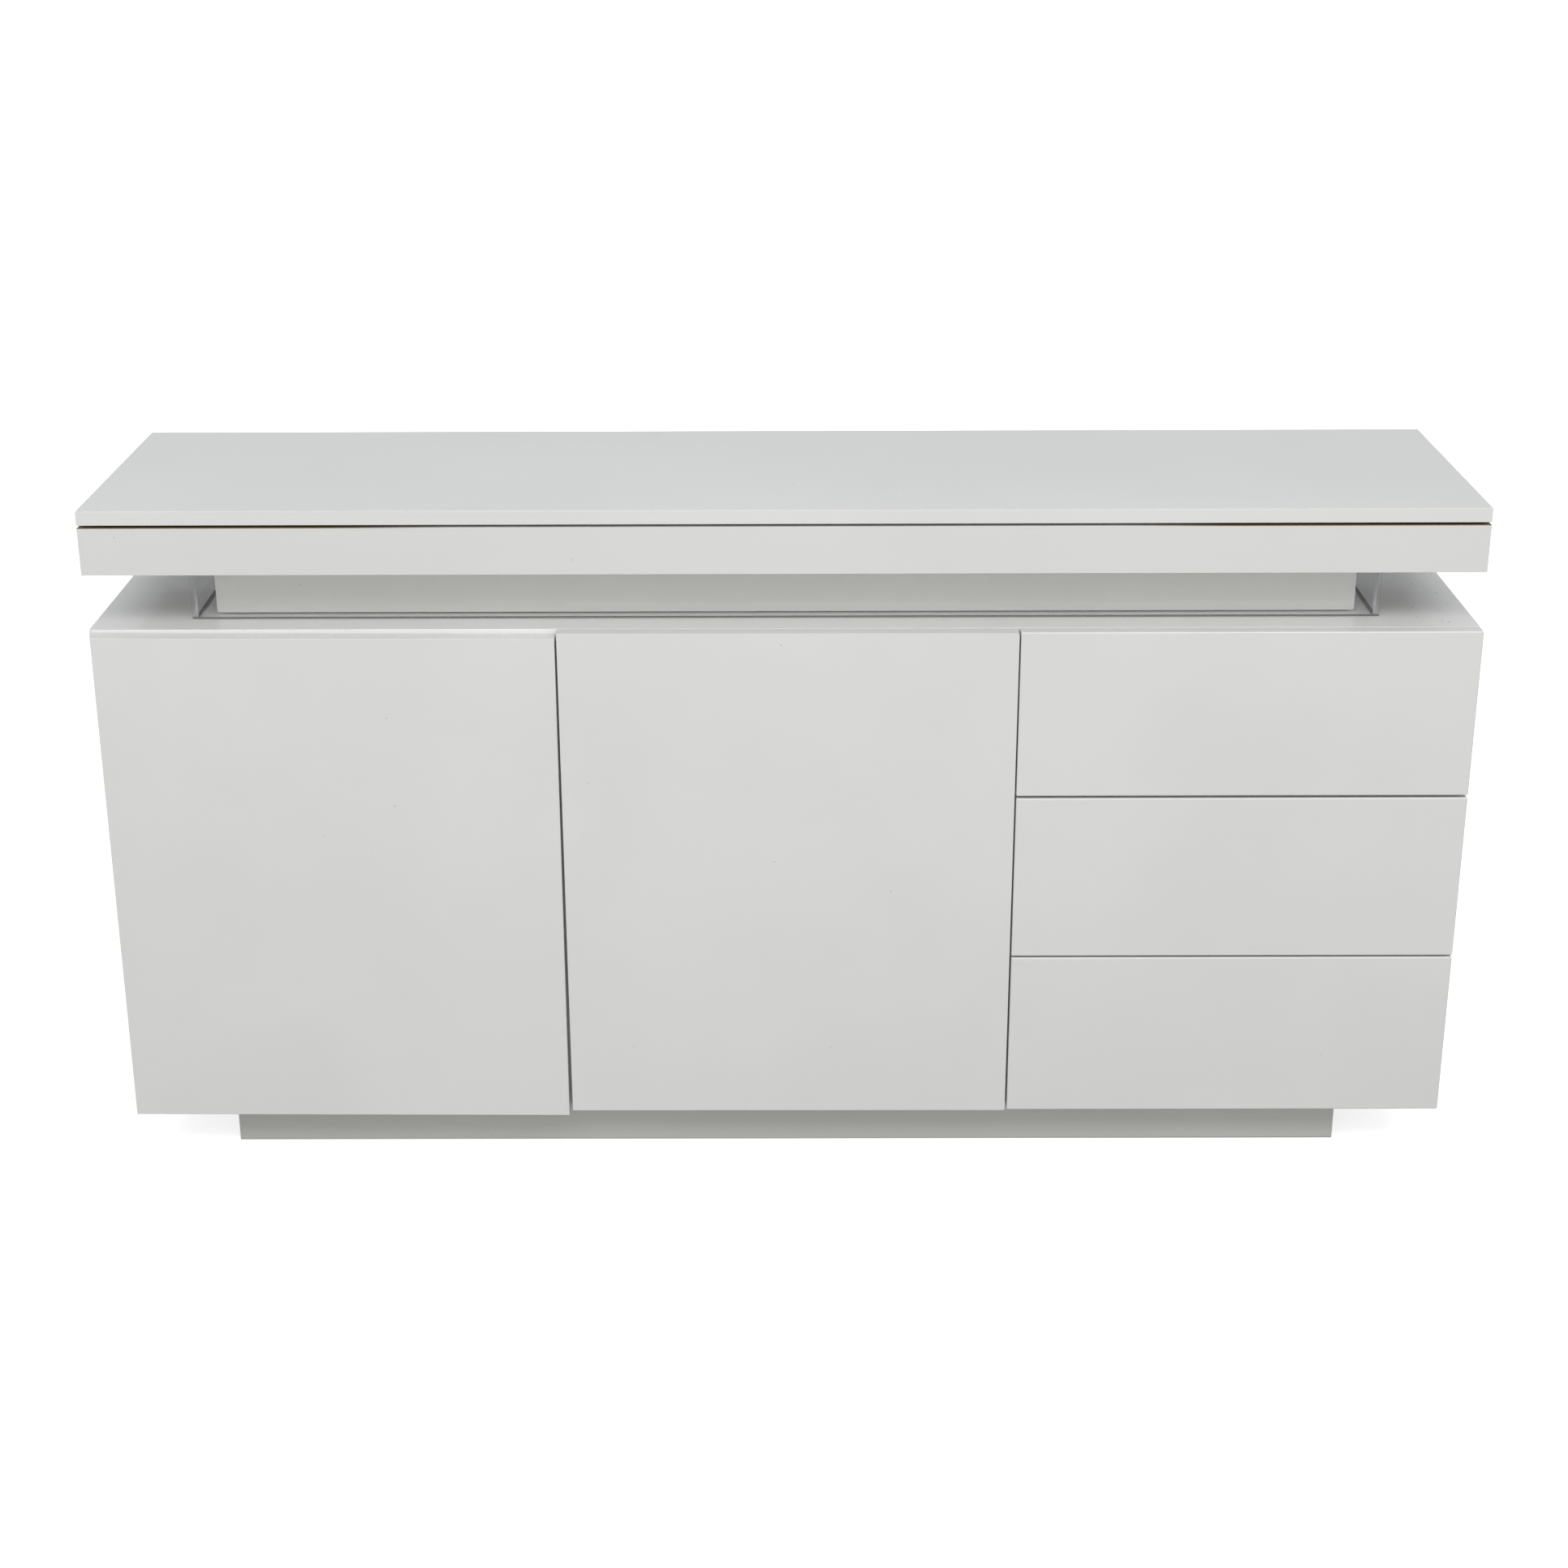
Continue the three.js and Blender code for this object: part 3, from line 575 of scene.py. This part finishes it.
def runner_member(name, drawer, side):
    """The drawer's half of a runner: a channel inside the cabinet's half, screwed to the drawer's side."""
    low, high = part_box(f"{drawer}_drawer_runner_{side}")
    wrap_low, wrap_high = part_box(f"{drawer}_drawer_wrap")
    face = wrap_low.x if side == "left" else wrap_high.x
    inwards = 1 if side == "left" else -1
    web = face - 0.3 * MM * inwards
    lip = (low.x if side == "left" else high.x) + 2.7 * MM * inwards
    t, h = RUNNER_WEB, RUNNER_HALF_HEIGHT
    outline = [
        (web, -h), (web, h), (lip, h), (lip, h - t),
        (web - t * inwards, h - t), (web - t * inwards, t - h), (lip, t - h), (lip, -h),
    ]
    level = (low.z + high.z) / 2
    bm = bmesh.new()
    start = wrap_low.y + 1 * MM
    prism(bm, outline, start, start + RUNNER_MEMBER_LENGTH, lambda u, v, y: (u, y, level + v))
    add_piece(name, bm, f"{drawer}_drawer", steel, 0.2 * MM)


def drawer_fittings(drawer):
    for side in ("left", "right"):
        runner_member(f"{drawer}_drawer_runner_member_{side}", drawer, side)
    low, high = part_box(f"{drawer}_drawer_front")
    bm = bmesh.new()
    for x in (low.x + 5 * MM, high.x - 9 * MM):
        dome(bm, (x, high.y, high.z - 14 * MM), TO_BACK, BUMPER_RADIUS, BUMPER_HEIGHT)
    add_piece(f"{drawer}_drawer_bumpers", bm, f"{drawer}_drawer", nylon)

    wrap_low, wrap_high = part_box(f"{drawer}_drawer_wrap")
    bm = bmesh.new()
    for x, normal in ((wrap_low.x, TO_LEFT), (wrap_high.x, TO_RIGHT)):
        for z in (wrap_low.z + 24 * MM, wrap_high.z - 24 * MM):
            place = (x, wrap_low.y + 24 * MM, z)
            screw(bm, place, normal, DRAWER_CAP_RADIUS, DRAWER_CAP_HEIGHT)
    add_piece(f"{drawer}_drawer_cam_caps", bm, f"{drawer}_drawer", nylon)

    bm = bmesh.new()
    for side, normal in (("left", TO_RIGHT), ("right", TO_LEFT)):
        low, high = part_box(f"{drawer}_drawer_runner_{side}")
        x = low.x + RUNNER_WEB if side == "left" else high.x - RUNNER_WEB
        for y in (low.y + 37 * MM, low.y + 160 * MM, high.y - 40 * MM):
            screw(bm, (x, y, (low.z + high.z) / 2), normal, RUNNER_SCREW)
    add_piece(f"{drawer}_runner_screws", bm, "root", steel)


def door_fittings(door):
    leaf = f"{door}_door_leaf"
    low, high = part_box(f"{door}_door")
    on_leaf, on_wall = bmesh.new(), bmesh.new()
    for level in ("upper", "lower"):
        cup_low, cup_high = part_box(f"hinge_cup_{level}_{door}")
        cup = (cup_low + cup_high) / 2
        for dz in (-20.5 * MM, 20.5 * MM):
            screw(on_leaf, (cup.x, cup_high.y, cup.z + dz), TO_BACK, CUP_SCREW)
        arm_low, arm_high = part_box(f"hinge_arm_{level}_{door}")
        arm = (arm_low + arm_high) / 2
        for dz in (-16 * MM, 16 * MM):
            place = (arm_low.x + 1.7 * MM, arm_high.y - 22 * MM, arm.z + dz)
            screw(on_wall, place, TO_RIGHT, ARM_SCREW)
        for dy in (18 * MM, 44 * MM):
            place = (arm_high.x, arm_high.y - dy, arm.z)
            screw(on_wall, place, TO_RIGHT, ADJUSTER_RADIUS, ADJUSTER_HEIGHT)
    add_piece(f"{door}_cup_screws", on_leaf, leaf, steel)
    latch_low, latch_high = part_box(f"latch_body_{door}")
    for y in (latch_low.y + 74 * MM, latch_high.y - 4 * MM):
        screw(on_wall, ((latch_low.x + latch_high.x) / 2, y, latch_low.z), DOWN, LATCH_SCREW)
    add_piece(f"{door}_arm_screws", on_wall, "root", steel)

    plunger = middle(f"latch_plunger_{door}")
    bm = bmesh.new()
    disc = [(9.0, 0.0), (9.0, 0.14), (8.6, 0.22), (2.4, 0.22), (2.0, 0.1)]
    lathe(bm, towards((plunger.x, high.y, plunger.z), TO_BACK), [(r * MM, h * MM) for r, h in disc], 32)
    add_piece(f"{door}_strike_plate", bm, leaf, steel)

    free_edge = high.x - (5.6 * MM if door == "left" else 5.0 * MM)
    bm = bmesh.new()
    for z in (low.z + 36 * MM, high.z - 26 * MM):
        dome(bm, (free_edge, high.y, z), TO_BACK, BUMPER_RADIUS, BUMPER_HEIGHT)
    add_piece(f"{door}_door_bumpers", bm, leaf, nylon)


def shelf_pins(shelf):
    """Four spoon pins: a collar on the wall and a tongue under the shelf."""
    low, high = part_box(shelf)
    bm = bmesh.new()
    for x, inwards in ((low.x - 1 * MM, 1), (high.x + 1 * MM, -1)):
        for y in (low.y + 45 * MM, high.y - 45 * MM):
            top = low.z - 0.1 * MM
            collar = [(4.2, 0.0), (4.2, 1.0), (3.6, 1.5), (2.5, 1.6), (2.5, 6.0), (2.2, 6.4)]
            where = towards((x, y, top - 4.3 * MM), Vector((inwards, 0, 0)))
            lathe(bm, where, [(r * MM, h * MM) for r, h in collar], 16)
            half, shoulder, tip = 4 * MM, 10 * MM, 13 * MM
            tongue = [
                (-half, 0), (half, 0), (half, shoulder),
                (0.6 * half, tip), (-0.6 * half, tip), (-half, shoulder),
            ]

            def on_shelf(u, v, z):
                return x + inwards * (v + 0.2 * MM), y + u, z

            prism(bm, tongue, top - 1.6 * MM, top, on_shelf)
    add_piece(f"{shelf}_pins", bm, "root", steel, 0.15 * MM)


def cam_caps():
    """Covers of the cam fittings in the uprights, on the faces that look into the door bays."""
    bm = bmesh.new()
    for node, normals in (
        ("left_side", (TO_RIGHT,)),
        ("divider_doors", (TO_LEFT, TO_RIGHT)),
        ("divider_drawers", (TO_LEFT,)),
    ):
        low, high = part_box(node)
        for normal in normals:
            x = high.x if normal.x > 0 else low.x
            for z in (low.z + CAM_INSET, high.z - CAM_INSET):
                for y in (low.y + 52 * MM, high.y - 52 * MM):
                    screw(bm, (x, y, z), normal, CAM_CAP_RADIUS, CAM_CAP_HEIGHT)
    add_piece("cam_caps", bm, "root", nylon)


def back_nails():
    """Flat nail heads along the back panel's edges and its uprights."""
    low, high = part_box("back_panel")
    inset = 7 * MM
    bm = bmesh.new()
    places = []
    across, up = 15, 6
    for i in range(across + 1):
        x = low.x + inset + (high.x - low.x - 2 * inset) * i / across
        places += [(x, low.z + inset), (x, high.z - inset)]
    for i in range(1, up):
        z = low.z + inset + (high.z - low.z - 2 * inset) * i / up
        uprights = (low.x + inset, high.x - inset, middle("divider_doors").x, middle("divider_drawers").x)
        places += [(x, z) for x in uprights]
    for k, (x, z) in enumerate(places):
        stray = 1.5 * MM * math.sin(12.9 * k)
        place = (x + stray, high.y, z + 0.5 * stray * math.cos(7.1 * k))
        dome(bm, place, TO_BACK, NAIL_RADIUS, NAIL_HEIGHT, 12)
    add_piece("back_nails", bm, "root", steel)


for drawer in DRAWERS:
    drawer_fittings(drawer)
for door in DOORS:
    door_fittings(door)
for shelf in ("shelf_left", "shelf_middle"):
    shelf_pins(shelf)
cam_caps()
back_nails()

# ---- stage, light and camera ----
CAMERA_PLACE = (0.01149, -3.30281, 1.74234)
CAMERA_PITCH = 0.37086
CAMERA_YAW = -0.00385
CAMERA_ROLL = -0.00359
CAMERA_LENS = 59.523
SENSOR = 36.0
FLOOR_COLOUR = (0.80, 0.80, 0.80, 1)
FLOOR_BOUNCE = (0.28, 0.28, 0.27, 1)
FLOOR_GLOW = 0.72
STUDIO_STRENGTH, STUDIO_COLOUR = 0.60, (0.955, 0.97, 1.0, 1)
KEY_POWER, KEY_COLOUR = 71, (1, 0.995, 0.98)
REAR_POWER, REAR_COLOUR = 34, (0.97, 0.98, 1)
FILL_POWER, FILL_COLOUR = 43, (1, 0.995, 0.975)


def make_camera():
    data = bpy.data.cameras.new("camera")
    data.sensor_width = SENSOR
    data.lens = CAMERA_LENS
    data.clip_end = 200
    camera = bpy.data.objects.new("camera", data)
    bpy.context.scene.collection.objects.link(camera)
    forward = Vector(
        (
            math.sin(CAMERA_YAW) * math.cos(CAMERA_PITCH),
            math.cos(CAMERA_YAW) * math.cos(CAMERA_PITCH),
            -math.sin(CAMERA_PITCH),
        )
    )
    level = Vector((math.cos(CAMERA_YAW), -math.sin(CAMERA_YAW), 0))
    up = level.cross(forward)
    right = level * math.cos(CAMERA_ROLL) + up * math.sin(CAMERA_ROLL)
    up = up * math.cos(CAMERA_ROLL) - level * math.sin(CAMERA_ROLL)
    turn = Matrix((right, up, -forward)).transposed().to_4x4()
    camera.matrix_world = Matrix.Translation(CAMERA_PLACE) @ turn
    bpy.context.scene.camera = camera


def make_floor():
    mesh = bpy.data.meshes.new("floor")
    half = 60.0
    corners = [(-half, -half, 0), (half, -half, 0), (half, half, 0), (-half, half, 0)]
    mesh.from_pydata(corners, [], [(0, 1, 2, 3)])
    floor = bpy.data.objects.new("floor", mesh)
    bpy.context.scene.collection.objects.link(floor)
    tree = Tree("pale_floor")
    pale = tree.make("BsdfDiffuse", Color=FLOOR_COLOUR)
    glow = tree.make("Emission", Color=(1, 1, 1, 1), Strength=FLOOR_GLOW)
    seen = tree.nodes.new("ShaderNodeAddShader")
    tree.put(seen.inputs[0], pale)
    tree.put(seen.inputs[1], glow)
    lighting = tree.make("BsdfDiffuse", Color=FLOOR_BOUNCE)
    to_camera = tree.nodes.new("ShaderNodeLightPath").outputs["Is Camera Ray"]
    tree.put(tree.output.inputs["Surface"], tree.mixed(to_camera, lighting, seen.outputs[0]))
    tree.nodes.remove(tree.shader)
    give(floor, tree.material)
    floor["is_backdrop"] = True


def soft_box(name, place, aim, width, height, power, colour):
    data = bpy.data.lights.new(name, "AREA")
    data.shape = "RECTANGLE"
    data.size, data.size_y = width, height
    data.energy = power
    data.color = colour
    light = bpy.data.objects.new(name, data)
    bpy.context.scene.collection.objects.link(light)
    light.location = place
    light.rotation_euler = (Vector(aim) - Vector(place)).to_track_quat("-Z", "Y").to_euler()


def make_world(strength, colour):
    """An even studio, which looks white to the camera past the floor's edge."""
    world = bpy.data.worlds.new("studio")
    world.use_nodes = True
    nodes, links = world.node_tree.nodes, world.node_tree.links
    light = nodes["Background"]
    light.inputs["Color"].default_value = colour
    light.inputs["Strength"].default_value = strength
    backdrop = nodes.new("ShaderNodeBackground")
    backdrop.inputs["Color"].default_value = (1, 1, 1, 1)
    backdrop.inputs["Strength"].default_value = 1.0
    mix = nodes.new("ShaderNodeMixShader")
    links.new(nodes.new("ShaderNodeLightPath").outputs["Is Camera Ray"], mix.inputs[0])
    links.new(light.outputs[0], mix.inputs[1])
    links.new(backdrop.outputs[0], mix.inputs[2])
    links.new(mix.outputs[0], nodes["World Output"].inputs["Surface"])
    bpy.context.scene.world = world


make_camera()
make_floor()
make_world(STUDIO_STRENGTH, STUDIO_COLOUR)
for side in (-1, 1):
    soft_box("key_%d" % side, (side * 1.9, -3.3, 4.1), (0, 0, 0.7), 2.6, 1.8, KEY_POWER, KEY_COLOUR)
soft_box("rear", (0, 4.4, 0.45), (0, 0, 0.45), 5.0, 0.85, REAR_POWER, REAR_COLOUR)
soft_box("fill", (0, -4.4, 0.8), (0, 0, 0.35), 5.0, 1.5, FILL_POWER, FILL_COLOUR)
bpy.context.scene.view_settings.view_transform = "Standard"

low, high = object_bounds()
